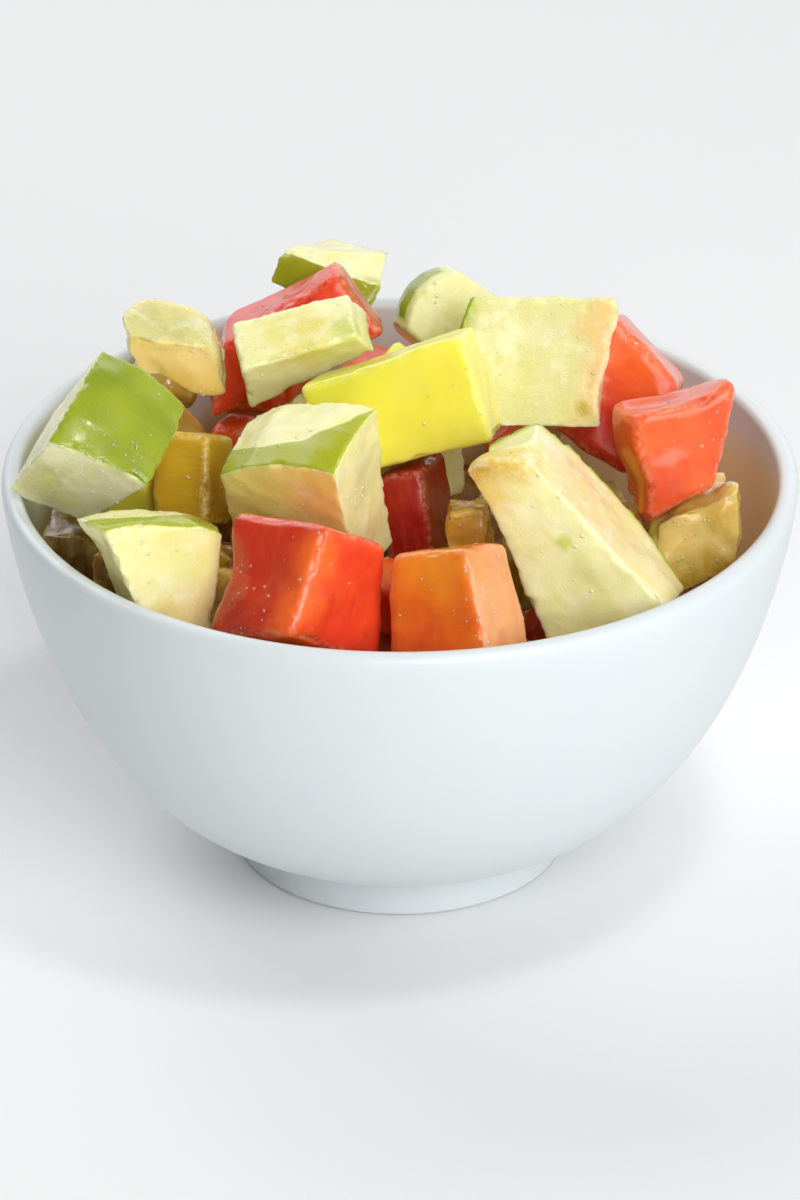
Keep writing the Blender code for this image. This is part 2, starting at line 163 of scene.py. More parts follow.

# Where a chunk's colour changes over it, much of it painted light and shade: ("side", direction,
# colour, share) recolours the faces that look that way, as painted light and shade on those faces;
# ("spot", place in mm, radius in mm, colour, share) recolours a patch, some of them painted shade
# and painted highlights, as marked.
TINTS_AND_PAINTED_LIGHT = {
    "apple_left": (
        # painted light: the lower front flesh face lighter
        ("side", (-0.3, -0.84, -0.45), (1.00, 0.98, 0.58), 0.9),
        ("spot", (-58, -15, 76), 9, (0.50, 0.46, 0.10), 0.8)),
    "pineapple_back_left": (
        ("side", (0.0, -1.0, 0.0), (0.88, 0.68, 0.27), 0.9),
        ("spot", (-33, 5, 79), 7, (0.80, 0.50, 0.09), 0.8)),
    "papaya_back": (
        ("side", (0.80, 0.0, 0.60), (0.50, 0.13, 0.015), 0.9),
        ("side", (-0.87, -0.36, 0.33), (0.80, 0.035, 0.015), 0.9)),
    "apple_middle_back": (
        # painted light: the lower front face lighter
        ("side", (0.25, -0.85, -0.46), (1.00, 0.95, 0.50), 0.8),
        ("spot", (-16, 3, 91), 7, (0.84, 0.72, 0.13), 0.8),
        ("spot", (-8, 3, 93), 4, (0.56, 0.62, 0.07), 0.8)),
    "mango_middle": (
        ("spot", (-15, -8, 88), 13, (0.72, 0.70, 0.06), 0.8),
        # painted light: the narrow right face paler
        ("side", (0.95, -0.09, 0.31), (0.95, 0.88, 0.22), 0.9)),
    "apple_middle": (
        # painted light: the front face lighter and yellower
        ("side", (-0.39, -0.86, -0.34), (1.00, 0.84, 0.19), 0.9),
        ("spot", (-14, -29, 76), 6, (1.00, 0.60, 0.26), 0.5),
        # painted light: the right face lighter
        ("side", (0.91, -0.41, 0.0), (1.00, 0.97, 0.45), 0.9),
        ("spot", (-4, -21, 68), 7, (1.00, 0.80, 0.40), 0.6)),
    "apple_top_back": (
        ("spot", (-5, 31, 86), 4, (0.54, 0.48, 0.03), 0.9),),
    "apple_right_back": (
        ("spot", (35, 5, 92), 7, (0.92, 0.54, 0.20), 0.9),
        ("spot", (35, 2, 85), 6, (0.92, 0.56, 0.22), 0.9),
        ("spot", (31, 0, 78), 5, (0.94, 0.62, 0.22), 0.6),
        ("spot", (30, -1, 80), 1.6, (0.62, 0.42, 0.03), 0.9),
        ("spot", (10, 7, 92), 3, (0.44, 0.48, 0.03), 0.9)),
    "papaya_right_back": (
        # painted light and shade: orange at the top, dark red low down
        ("spot", (34, 9, 68), 9, (0.60, 0.025, 0.015), 0.9),
        ("spot", (40, 13, 82), 8, (0.92, 0.15, 0.025), 0.9)),
    "papaya_right": (
        # painted light: the left facet brighter red
        ("side", (-0.96, -0.28, 0.0), (1.00, 0.13, 0.020), 0.9),
        ("spot", (43, -19, 71), 7, (0.76, 0.08, 0.015), 0.8)),
    "pineapple_right": (
        ("spot", (47, -19, 65), 5, (0.80, 0.60, 0.20), 0.7),
        ("spot", (47, -19, 57), 7, (0.62, 0.40, 0.03), 0.8)),
    "apple_wedge_front": (
        ("side", (0.77, -0.12, 0.62), (0.86, 0.72, 0.34), 0.9),
        ("spot", (30, -28, 84), 8, (0.92, 0.64, 0.34), 0.6),
        ("spot", (13, -35, 86), 7.5, (0.62, 0.38, 0.015), 1.0),
        ("spot", (19, -35, 87), 4.5, (0.76, 0.54, 0.04), 0.9),
        ("spot", (16, -35, 81), 3, (0.90, 0.70, 0.16), 0.8),
        ("spot", (22, -33, 91), 3, (0.60, 0.66, 0.10), 0.7),
        ("spot", (28, -41, 62), 8, (0.92, 0.90, 0.42), 0.7),
        ("spot", (26, -38, 75), 1.8, (0.60, 0.68, 0.10), 0.9)),
    "papaya_orange_front": (
        # painted highlight: the right face paler, for its wet glare
        ("side", (0.87, -0.31, 0.38), (0.96, 0.48, 0.24), 0.8),
        ("spot", (6, -48, 79), 9, (0.84, 0.30, 0.018), 0.8),
        ("spot", (5, -53, 63), 7, (0.74, 0.10, 0.014), 0.7)),
    "papaya_front": (
        # painted shade: the left face darker red
        ("side", (-0.67, -0.48, 0.56), (0.62, 0.040, 0.015), 0.9),
        # painted shade, low on the left
        ("spot", (-27, -47, 65), 7, (0.46, 0.040, 0.018), 0.7),
        # painted highlight: three bright spots along the ridge
        ("spot", (-13, -50, 78), 5, (0.94, 0.17, 0.025), 0.9),
        ("spot", (-16, -53, 72), 5, (0.94, 0.17, 0.025), 0.9),
        ("spot", (-18, -55, 66), 5, (0.94, 0.15, 0.022), 0.9)),
    "apple_front_left": (
        # painted shade: the lower left facet darker
        ("side", (-0.85, -0.46, -0.27), (0.80, 0.74, 0.28), 0.9),
        ("spot", (-34, -41, 62), 7, (0.76, 0.56, 0.22), 0.7)),
    "mango_left": (
        # painted shade: the chunk's right part dark brown
        ("spot", (-27, -12, 70), 7, (0.36, 0.15, 0.010), 0.9),),
    "papaya_deep_middle": (
        # painted shade: the deep chunk's right face dark brown
        ("side", (0.95, -0.23, 0.23), (0.26, 0.045, 0.010), 0.9),),
}
# Where a skin side is cut back to flesh: a point on the skin's edge, the way to the bare part,
# both in mm from above, and how much the edge bends towards it away from that point.
BARE = {
    "apple_middle": ((-15.0, -26.3), (0.0, 1.0), 0.05),
    "apple_front_left": ((-42.0, -37.2), (-0.316, 0.949), 0.03),
}
# How far skin colour reaches over the edge of the skin side (or stops short of it), in mm.
SKIN_REACH = {
    "apple_wedge_front": 0.9,
    "apple_round_back": -1.7,
    "apple_right_back": 0.5,
    "apple_left": 0.2,
}
# The skin's colour by the way it faces, with a painted highlight on some tops.
SKIN_TINTS_AND_PAINTED_LIGHT = {
    "apple_top_back": (("side", (0.0, 0.0, 1.0), (0.40, 0.28, 0.012), 0.7),),
    # painted highlight: the glare on the skin's top, lighter green
    "apple_middle": (("side", (0.0, 0.0, 1.0), (0.46, 0.47, 0.016), 0.9),),
    # painted highlight: the glare on the skin's top, lighter green
    "apple_front_left": (("side", (0.0, 0.0, 1.0), (0.44, 0.48, 0.03), 0.8),),
    "apple_wedge_front": (("side", (0.0, 1.0, 0.0), (0.34, 0.46, 0.02), 0.6),),
}
# Where a soft chunk is pressed out of its cut shape: (place, how wide, push), all in mm.
PUSHED = {
    "papaya_front": (
        ((-23.0, -40.0, 80.0), 11.0, (-3.0, 0.6, 0.6)),
        ((-16.0, -49.0, 82.0), 7.0, (0.0, 0.0, 0.6))),
    "papaya_right": (
        ((38.0, -10.0, 82.0), 13.0, (-2.6, 0.0, 0.0)),
        ((42.0, -9.0, 87.0), 6.0, (0.0, 0.4, -1.4)),
        ((54.0, -8.0, 87.0), 8.0, (0.0, 0.0, 1.8)),
        ((41.0, -16.0, 68.0), 8.0, (-1.2, 0.0, -2.0))),
    "apple_wedge_front": (
        ((15.0, -34.0, 86.0), 8.0, (-3.2, 0.0, 2.4)),
        ((21.0, -34.0, 90.0), 5.0, (0.4, 1.0, -0.8)),
        ((42.0, -38.0, 68.0), 9.0, (1.0, 0.0, 0.8))),
    "apple_front_left": (
        ((-48.0, -36.0, 79.0), 7.0, (-1.8, 0.0, -0.4)),
        ((-34.0, -40.0, 79.0), 6.0, (1.2, 0.0, -1.0))),
    "pineapple_back_left": (
        ((-42.0, 10.0, 88.0), 12.0, (-2.2, 0.0, 0.8)),
        ((-36.0, 14.0, 92.0), 8.0, (0.0, 0.0, 0.8)),
        ((-31.0, 4.0, 79.0), 9.0, (1.0, -1.8, -3.0))),
    "pineapple_right": (
        ((42.0, -20.0, 60.0), 9.0, (-1.6, -0.8, -1.4)),
        ((54.0, -14.0, 70.0), 8.0, (1.0, 0.0, 1.4))),
    "apple_left": (
        ((-47.0, -5.0, 93.0), 5.0, (0.2, 0.0, -0.9)),
        ((-34.0, -11.0, 85.0), 5.0, (-0.9, 0.0, -0.3))),
    "apple_right_back": (
        ((36.0, 5.0, 93.0), 5.0, (1.0, 0.0, -0.2)),
        ((32.0, 1.0, 82.0), 6.0, (-1.0, 0.0, 0.0)),
        ((22.0, 6.0, 94.0), 6.0, (0.0, 0.0, -0.6))),
    "mango_middle": (
        ((6.0, -9.0, 92.0), 8.0, (0.0, 0.0, 0.6)),
        ((-15.0, -8.0, 86.0), 8.0, (-0.8, 0.0, 0.0))),
}
# Where juice stands in drops: (place in mm, how wide in mm, how many).
DROPS = {
    "apple_left": (((-48, -23, 83), 7, 110), ((-44, -14, 89), 12, 26), ((-50, -26, 76), 9, 16)),
    "pineapple_back_left": (((-33, 5, 84), 8, 70), ((-38, 8, 90), 9, 26)),
    "papaya_orange_front": (((17, -46, 70), 11, 80), ((6, -50, 74), 12, 22)),
    "papaya_front": (((-26, -46, 66), 9, 44), ((-16, -51, 74), 10, 20)),
    "papaya_right": (((48, -12, 84), 8, 26), ((50, -15, 76), 8, 14)),
    "papaya_right_back": (((40, 14, 84), 8, 18),),
    "papaya_back": (((-16, 26, 89), 10, 24),),
    "pineapple_right": (((50, -17, 68), 9, 50), ((46, -21, 60), 9, 22)),
    "mango_middle": (((12, -12, 84), 9, 26), ((-6, -12, 84), 12, 18)),
    "mango_left": (((-28, -10, 72), 8, 34),),
    "apple_front_left": (((-37, -40, 77), 9, 34), ((-44, -38, 77), 8, 24)),
    "apple_middle": (((-17, -25, 85), 11, 40), ((-8, -24, 80), 9, 20)),
    "apple_wedge_front": (((32, -38, 72), 12, 60), ((18, -36, 84), 8, 26)),
    "apple_middle_back": (((-18, 4, 89), 12, 40),),
    "apple_right_back": (((22, 3, 88), 14, 44),),
    "apple_top_back": (((-14, 37, 91), 10, 16),),
    "apple_round_back": (((6, 28, 86), 9, 16),),
    "pineapple_deep_middle": (((10, -26, 72), 7, 16),),
}
DROP_RADII = (0.13 * MM, 0.36 * MM)
DROP_FLATNESS = 0.38
DROP_SHARE = 0.6                 # of those numbers, so that drops stay apart


# ---- mesh helpers ----

def kind_of(node):
    return node.split("_")[0]


def local_frame(node):
    """A chunk's own axes, with the origin in the middle of its box."""
    low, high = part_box(node)
    turn = Euler([math.radians(angle) for angle in TURNS[node]], "XYZ")
    return Matrix.Translation((low + high) / 2.0) @ turn.to_matrix().to_4x4()


def link(name, mesh):
    made = bpy.data.objects.new(name, mesh)
    SCENE.collection.objects.link(made)
    return made


def settled(made, name):
    """The object's mesh with its modifiers applied, in a new mesh."""
    bpy.context.view_layer.update()
    mesh = bpy.data.meshes.new_from_object(
        made.evaluated_get(bpy.context.evaluated_depsgraph_get()))
    mesh.name = name
    bpy.data.objects.remove(made)
    return mesh


def fine_copy(source, name, voxel, smoothing):
    """A finely gridded copy of a closed mesh, its edges rounded by smoothing."""
    made = link(name, source)
    remesh = made.modifiers.new("remesh", "REMESH")
    remesh.mode = "VOXEL"
    remesh.voxel_size = voxel
    smooth = made.modifiers.new("smooth", "SMOOTH")
    smooth.factor = 0.5
    smooth.iterations = smoothing
    return settled(made, name)


def wave(point, size, seed):
    """Smooth noise from -1 to 1 with features of that size, in metres."""
    return noise.noise(point / size + Vector((seed * 7.1, seed * 3.3, seed * 5.7)))


def mix(first, second, share):
    share = max(0.0, min(1.0, share))
    return tuple(a + (b - a) * share for a, b in zip(first, second))


def step(value, low, high):
    share = max(0.0, min(1.0, (value - low) / (high - low)))
    return share * share * (3.0 - 2.0 * share)


def put(name, mesh, matrix, look, slot, *nodes):
    """A finished piece: smooth, on the body, in place of its solids; its slot is not used."""
    mesh.materials.clear()
    mesh.materials.append(look)
    mesh.shade_smooth()
    made = link(name, mesh)
    made.matrix_world = matrix
    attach(made, BODY)
    if nodes:
        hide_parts(*nodes)
    return made


# ---- material helpers ----

def new_material(name):
    made = bpy.data.materials.new(name)
    made.use_nodes = True
    return made, made.node_tree, made.node_tree.nodes["Principled BSDF"]


def node(tree, kind, inputs=None, **settings):
    made = tree.nodes.new(kind)
    for key, value in settings.items():
        setattr(made, key, value)
    for key, value in (inputs or {}).items():
        if isinstance(value, bpy.types.NodeSocket):
            tree.links.new(value, made.inputs[key])
        else:
            made.inputs[key].default_value = value
    return made


def coords(tree):
    return node(tree, "ShaderNodeTexCoord").outputs["Object"]


def stretched(tree, vector, scale):
    return node(tree, "ShaderNodeMapping", {"Vector": vector, "Scale": scale}).outputs[0]


def grain(tree, vector, size, detail=2.0):
    return node(tree, "ShaderNodeTexNoise", {
        "Vector": vector, "Scale": 1.0 / size, "Detail": detail, "Roughness": 0.55,
    }).outputs["Fac"]


def remap(tree, value, from_low, from_high, to_low, to_high):
    return node(tree, "ShaderNodeMapRange", {
        "Value": value, "From Min": from_low, "From Max": from_high,
        "To Min": to_low, "To Max": to_high,
    }).outputs[0]


def blend(tree, factor, first, second, mode="MIX"):
    made = node(tree, "ShaderNodeMix", data_type="RGBA", blend_type=mode)
    sockets = {0: factor, 6: first, 7: second}
    for index, value in sockets.items():
        if isinstance(value, bpy.types.NodeSocket):
            tree.links.new(value, made.inputs[index])
        elif index == 0:
            made.inputs[index].default_value = value
        else:
            made.inputs[index].default_value = (*value, 1.0)
    return made.outputs[2]


def maths(tree, operation, first, second):
    made = node(tree, "ShaderNodeMath", {0: first, 1: second}, operation=operation)
    return made.outputs[0]


def bump(tree, shader, height, depth):
    """Fine relief, for the surface and for the film of juice on it."""
    made = node(tree, "ShaderNodeBump", {"Height": height, "Distance": depth, "Strength": 1.0})
    tree.links.new(made.outputs[0], shader.inputs["Normal"])
    tree.links.new(made.outputs[0], shader.inputs["Coat Normal"])


def attribute(tree, name, output="Fac"):
    return node(tree, "ShaderNodeAttribute", attribute_name=name).outputs[output]


def wet(shader, specular, coat, coat_roughness, subsurface, radius, scale):
    shader.inputs["Metallic"].default_value = 0.0
    shader.inputs["IOR"].default_value = 1.36
    shader.inputs["Specular IOR Level"].default_value = specular
    shader.inputs["Coat Weight"].default_value = coat
    shader.inputs["Coat Roughness"].default_value = coat_roughness
    shader.inputs["Coat IOR"].default_value = 1.36
    shader.inputs["Subsurface Weight"].default_value = subsurface
    shader.inputs["Subsurface Radius"].default_value = radius
    shader.inputs["Subsurface Scale"].default_value = scale


def beads(tree, vector, spacing, share):
    """Height of small round beads of juice, on a share of the cells."""
    cells = node(tree, "ShaderNodeTexVoronoi", {"Vector": vector, "Scale": 1.0 / spacing})
    dome = remap(tree, cells.outputs["Distance"], 0.05, 0.30, 1.0, 0.0)
    level = node(tree, "ShaderNodeSeparateColor", {0: cells.outputs["Color"]}).outputs[0]
    chosen = remap(tree, level, share, share + 0.02, 1.0, 0.0)
    return maths(tree, "MULTIPLY", dome, chosen)


def painted_edge_highlight(tree, vector):
    """Where a cut edge carries a painted highlight, from 0 to 1."""
    patches = remap(tree, grain(tree, vector, 0.9 * MM, 3.0), 0.38, 0.62, 0.0, 1.0)
    return maths(tree, "MULTIPLY", attribute(tree, "edge"), patches)


def apple_material():
    """Pale wet flesh with a fine grain, and a smooth dotted green skin above it."""
    made, tree, shader = new_material("apple")
    at = coords(tree)
    skin = attribute(tree, "skin")
    on_skin = remap(tree, skin, -0.05 * MM, 0.10 * MM, 0.0, 1.0)
    under_skin = remap(tree, skin, -1.6 * MM, -0.1 * MM, 0.0, 0.9)
    # flesh
    tone = attribute(tree, "tone", "Color")
    cells = grain(tree, at, 0.8 * MM, 3.0)
    clouds = grain(tree, at, 4.0 * MM, 3.0)
    flesh = blend(tree, remap(tree, cells, 0.45, 0.75, 0.0, 0.20), tone, (1.0, 1.0, 0.80))
    flesh = blend(tree, remap(tree, cells, 0.42, 0.28, 0.0, 0.10), flesh, (0.72, 0.66, 0.20))
    flesh = blend(tree, remap(tree, clouds, 0.50, 0.75, 0.0, 0.50), flesh, (0.80, 0.78, 0.22))
    flesh = blend(tree, remap(tree, clouds, 0.46, 0.30, 0.0, 0.40), flesh, (1.0, 1.0, 0.74))
    flesh = blend(tree, maths(tree, "MULTIPLY", under_skin, under_skin), flesh, (0.50, 0.62, 0.06))
    # skin
    skin_clouds = grain(tree, at, 6.0 * MM)
    rind = attribute(tree, "rind", "Color")
    green = blend(tree, remap(tree, skin_clouds, 0.35, 0.70, 0.0, 0.5), rind, APPLE_SKIN_LIGHT)
    dots = node(tree, "ShaderNodeTexVoronoi", {"Vector": at, "Scale": 1.0 / (2.6 * MM)})
    dot = remap(tree, dots.outputs["Distance"], 0.05, 0.12, 0.35, 0.0)
    green = blend(tree, dot, green, (0.52, 0.58, 0.10))
    colour = blend(tree, on_skin, flesh, green)
    # painted highlight along the cut edges, weaker on the skin
    colour = blend(tree, maths(tree, "MULTIPLY", painted_edge_highlight(tree, at), maths(
        tree, "SUBTRACT", 0.5, maths(tree, "MULTIPLY", on_skin, 0.45))), colour, (1.0, 1.0, 0.78))
    tree.links.new(colour, shader.inputs["Base Color"])
    rough = remap(tree, cells, 0.3, 0.7, 0.28, 0.50)
    rough = maths(tree, "SUBTRACT", rough, maths(tree, "MULTIPLY", on_skin, 0.12))
    tree.links.new(rough, shader.inputs["Roughness"])
    fine = grain(tree, at, 0.40 * MM, 2.0)
    pits = maths(tree, "MULTIPLY", fine, remap(tree, on_skin, 0.0, 1.0, 1.0, 0.35))
    juice = maths(tree, "MULTIPLY", beads(tree, at, 0.8 * MM, 0.16), 0.7)
    height = maths(tree, "ADD", pits, juice)
    bump(tree, shader, height, 0.05 * MM)
    wet(shader, 0.5, 0.6, 0.06, 0.35, (1.0, 0.9, 0.35), 2.5 * MM)
    return made


def papaya_material():
    """Soft, wet and nearly clear flesh with faint fibres."""
    made, tree, shader = new_material("papaya")
    at = coords(tree)
    tone = attribute(tree, "tone", "Color")
    fibres = grain(tree, stretched(tree, at, (1.0, 1.0, 0.30)), 1.1 * MM, 3.0)
    colour = blend(tree, remap(tree, fibres, 0.45, 0.8, 0.0, 0.16), tone, (0.96, 0.26, 0.05))
    clouds = grain(tree, at, 5.0 * MM, 4.0)
    colour = blend(tree, remap(tree, clouds, 0.52, 0.30, 0.0, 0.30), colour, (0.60, 0.03, 0.012))
    # painted highlight along the cut edges
    colour = blend(tree, maths(tree, "MULTIPLY", painted_edge_highlight(tree, at), 0.35), colour, (1.0, 0.52, 0.36))
    tree.links.new(colour, shader.inputs["Base Color"])
    tree.links.new(remap(tree, clouds, 0.3, 0.7, 0.26, 0.46), shader.inputs["Roughness"])
    cuts = grain(tree, stretched(tree, at, (1.0, 0.25, 1.0)), 0.7 * MM, 3.0)
    height = maths(tree, "ADD", cuts, grain(tree, at, 0.5 * MM, 3.0))
    bump(tree, shader, height, 0.035 * MM)
    wet(shader, 0.4, 0.70, 0.07, 0.50, (1.0, 0.22, 0.08), 3.0 * MM)
    return made


def mango_material():
    """Smooth yellow flesh with faint fibres, and a painted highlight along its cut edges."""
    made, tree, shader = new_material("mango")
    at = coords(tree)
    tone = attribute(tree, "tone", "Color")
    fibres = grain(tree, stretched(tree, at, (0.2, 1.0, 1.0)), 0.8 * MM, 3.0)
    colour = blend(tree, remap(tree, fibres, 0.5, 0.8, 0.0, 0.14), tone, (1.0, 0.96, 0.26))
    # painted highlight along the cut edges
    colour = blend(tree, maths(tree, "MULTIPLY", painted_edge_highlight(tree, at), 0.4), colour, (1.0, 0.97, 0.45))
    tree.links.new(colour, shader.inputs["Base Color"])
    tree.links.new(remap(tree, fibres, 0.3, 0.7, 0.30, 0.46), shader.inputs["Roughness"])
    height = maths(tree, "ADD", fibres, beads(tree, at, 1.5 * MM, 0.10))
    bump(tree, shader, height, 0.02 * MM)
    wet(shader, 0.4, 0.55, 0.10, 0.50, (1.0, 0.8, 0.15), 3.0 * MM)
    return made


def pineapple_material():
    """Clear amber flesh with soft bundles of fibres in it."""
    made, tree, shader = new_material("pineapple")
    at = coords(tree)
    tone = attribute(tree, "tone", "Color")
    fibres = grain(tree, stretched(tree, at, (1.0, 1.0, 0.35)), 1.2 * MM, 3.0)
    clouds = grain(tree, at, 3.0 * MM, 3.0)
    colour = blend(tree, remap(tree, clouds, 0.45, 0.75, 0.0, 0.30), tone, (0.86, 0.74, 0.34))
    colour = blend(tree, remap(tree, fibres, 0.5, 0.75, 0.0, 0.22), colour, (0.90, 0.80, 0.42))
    tree.links.new(colour, shader.inputs["Base Color"])
    tree.links.new(remap(tree, fibres, 0.3, 0.7, 0.20, 0.36), shader.inputs["Roughness"])
    height = maths(tree, "ADD", fibres, beads(tree, at, 0.9 * MM, 0.25))
    bump(tree, shader, height, 0.06 * MM)
    wet(shader, 0.5, 0.7, 0.08, 0.60, (1.0, 0.70, 0.20), 4.5 * MM)
    return made


def porcelain_material():
    """White glaze with a satin sheen, a little uneven from the kiln, with juice on it inside and
    painted fruit-coloured reflection and shade there.
    """
    made, tree, shader = new_material("porcelain")
    at = coords(tree)
    clouds = grain(tree, at, 18.0 * MM)
    specks = grain(tree, at, 1.3 * MM, 3.0)
    colour = blend(tree, remap(tree, clouds, 0.35, 0.65, 0.0, 1.0), PORCELAIN, (0.71, 0.76, 0.77))
    colour = blend(tree, remap(tree, specks, 0.74, 0.80, 0.0, 0.25), colour, (0.60, 0.64, 0.64))
    # the juice stain inside, with painted fruit-coloured reflection and shade
    colour = blend(tree, attribute(tree, "stain_and_bounce"), colour, STAIN_AND_BOUNCE)
    tree.links.new(colour, shader.inputs["Base Color"])
    tree.links.new(remap(tree, clouds, 0.3, 0.7, 0.34, 0.44), shader.inputs["Roughness"])
    bump(tree, shader, grain(tree, at, 2.2 * MM), 0.02 * MM)
    shader.inputs["Metallic"].default_value = 0.0
    shader.inputs["Coat Weight"].default_value = 0.15
    shader.inputs["Coat Roughness"].default_value = 0.25
    return made


def juice_and_gap_shade_material():
    """Dark sweet juice between the pieces at the bottom of the gaps; its dark colour is also painted
    shade of the gaps.
    """
    made, tree, shader = new_material("juice")
    at = coords(tree)
    clouds = grain(tree, at, 4.0 * MM, 3.0)
    colour = blend(tree, remap(tree, clouds, 0.35, 0.65, 0.0, 1.0), JUICE_AND_GAP_SHADE, PALER_JUICE_AND_GAP_SHADE)
    tree.links.new(colour, shader.inputs["Base Color"])
    bump(tree, shader, grain(tree, at, 1.0 * MM, 3.0), 0.2 * MM)
    shader.inputs["Roughness"].default_value = 0.40
    return made


def drop_material():
    """Clear juice, showing the colour of the fruit it stands on, lightened a little as painted light
    so the drops' own shade doesn't read dark.
    """
    made, tree, shader = new_material("drops")
    tone = attribute(tree, "tone", "Color")
    clouds = grain(tree, coords(tree), 0.3 * MM)
    # painted light: the drops lightened towards pale yellow
    share = remap(tree, clouds, 0.3, 0.7, 0.05, 0.26)
    tree.links.new(blend(tree, share, tone, (1.0, 1.0, 0.85)), shader.inputs["Base Color"])
    shader.inputs["Roughness"].default_value = 0.10
    wet(shader, 0.5, 0.7, 0.03, 0.40, (1.0, 0.6, 0.3), 1.0 * MM)
    return made


LOOKS = {
    "apple": apple_material(),
    "papaya": papaya_material(),
    "mango": mango_material(),
    "pineapple": pineapple_material(),
}


# ---- bowl ----

def curve_radius(height, full_radius, bottom):
    share_left = (HEIGHT - height) / (HEIGHT - bottom)
    return full_radius * max(0.0, 1.0 - share_left ** HEIGHT_POWER) ** (1.0 / RADIUS_POWER)


def curve_height(radius, full_radius, bottom):
    share_left = (1.0 - (radius / full_radius) ** RADIUS_POWER) ** (1.0 / HEIGHT_POWER)
    return HEIGHT - share_left * (HEIGHT - bottom)


def arc(centre, radius, start, end, steps):
    points = []
    for index in range(steps + 1):
        angle = math.radians(start + (end - start) * index / steps)
        points.append((centre[0] + radius * math.cos(angle), centre[1] + radius * math.sin(angle)))
    return points


def bowl_outline():
    """(radius, height) from the middle of the foot's recess, over the lip, to the floor inside."""
    ring_inside = FOOT_RADIUS - FOOT_RING
    outline = [(ring_inside * share, FOOT_RECESS) for share in (0.0, 0.35, 0.7, 0.9)]
    outline += arc((ring_inside - FOOT_EDGE, FOOT_RECESS - FOOT_EDGE), FOOT_EDGE, 90, 0, 4)
    outline += arc((ring_inside + FOOT_EDGE, FOOT_EDGE), FOOT_EDGE, 180, 270, 4)
    outline += arc((FOOT_RADIUS - FOOT_EDGE, FOOT_EDGE), FOOT_EDGE, 270, 360, 5)
    start = curve_height(FOOT_NECK, RADIUS, BODY_BOTTOM) + FOOT_EDGE
    side_steps = 6
    for index in range(1, side_steps):
        share = index / side_steps
        outline.append((FOOT_RADIUS + (FOOT_NECK - FOOT_RADIUS) * share,
                        FOOT_EDGE + (NECK_HEIGHT - FOOT_EDGE) * share))
    outline.append((FOOT_NECK, NECK_HEIGHT))
    lip_radius = WALL / 2.0
    lip_height = HEIGHT - lip_radius
    for index in range(BODY_STEPS + 1):
        height = start + (lip_height - start) * (index / BODY_STEPS) ** HEIGHT_POWER
        outline.append((curve_radius(height, RADIUS, BODY_BOTTOM), height))
    outer = curve_radius(lip_height, RADIUS, BODY_BOTTOM)
    inner = curve_radius(lip_height, RADIUS - WALL, FLOOR_TOP)
    for index in range(1, ARC_STEPS):
        angle = math.pi * index / ARC_STEPS
        outline.append(((outer + inner) / 2.0 + (outer - inner) / 2.0 * math.cos(angle),
                        lip_height + lip_radius * math.sin(angle)))
    for index in range(BODY_STEPS):
        share = 1.0 - index / BODY_STEPS
        height = FLOOR_TOP + (lip_height - FLOOR_TOP) * share ** HEIGHT_POWER
        outline.append((curve_radius(height, RADIUS - WALL, FLOOR_TOP), height))
    outline.append((0.0, FLOOR_TOP))
    return outline


def turned(name, outline, sides):
    mesh = bmesh.new()
    rings = []
    for radius, height in outline:
        count = 1 if radius < WELD else sides
        ring = []
        for side in range(count):
            angle = 2.0 * math.pi * side / sides
            ring.append(mesh.verts.new((radius * math.cos(angle), radius * math.sin(angle), height)))
        rings.append(ring)
    for lower, upper in zip(rings, rings[1:]):
        for side in range(sides):
            after = (side + 1) % sides
            if len(lower) == 1:
                mesh.faces.new((lower[0], upper[after], upper[side]))
            elif len(upper) == 1:
                mesh.faces.new((lower[side], lower[after], upper[0]))
            else:
                mesh.faces.new((lower[side], lower[after], upper[after], upper[side]))
    data = bpy.data.meshes.new(name)
    mesh.to_mesh(data)
    mesh.free()
    return data


def add_bowl():
    data = turned("bowl_glazed", bowl_outline(), BOWL_SIDES)
    for vert in data.vertices:
        around = Vector((vert.co.x, vert.co.y, vert.co.z * 0.4))
        lift = step(vert.co.z, 2.0 * MM, 10.0 * MM)
        vert.co += WOBBLE * lift * wave(around, 45.0 * MM, 3) * vert.co.normalized()
    # below the juice line inside: a juice stain, and painted fruit-coloured reflection and shade
    stain_and_bounce = data.attributes.new("stain_and_bounce", "FLOAT", "POINT")
    for vert, value in zip(data.vertices, stain_and_bounce.data):
        height = vert.co.z
        out = math.hypot(vert.co.x, vert.co.y)
        outer = curve_radius(min(height, HEIGHT - WALL), RADIUS, BODY_BOTTOM)
        level = 59.0 * MM + 5.0 * MM * wave(vert.co, 16.0 * MM, 5) + 6.0 * MM * vert.co.x / RADIUS
        wet_and_bounce_wall = 1.0 - step(height, level - 6.0 * MM, level + 3.0 * MM)
        is_inside = out < outer - WALL / 2.0 and height > FLOOR_TOP
        value.value = wet_and_bounce_wall * STAIN_AND_BOUNCE_SHARE if is_inside else 0.0
    return put("bowl_glazed", data, Matrix.Identity(4), porcelain_material(), "porcelain", "bowl")


# ---- chunks ----

def solid_copy(node_name):
    """A welded copy of a chunk's solid, in its own axes."""
    mesh = bmesh.new()
    mesh.from_mesh(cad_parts[node_name].data)
    bmesh.ops.remove_doubles(mesh, verts=mesh.verts, dist=WELD)
    mesh.transform(local_frame(node_name).inverted())
    mesh.normal_update()
    return mesh


def skin_faces(mesh):
    """The faces of an apple's domed skin side: the largest patch without a sharp edge in it."""
    left = set(mesh.faces)
    patches = []
    while left:
        patch = [left.pop()]
        for face in patch:
            for edge in face.edges:
                if len(edge.link_faces) != 2 or edge.calc_face_angle() > SKIN_BEND:
                    continue
                for other in edge.link_faces:
                    if other in left:
                        left.remove(other)
                        patch.append(other)
        patches.append(patch)
    return set(max(patches, key=lambda patch: (len(patch), sum(face.calc_area() for face in patch))))


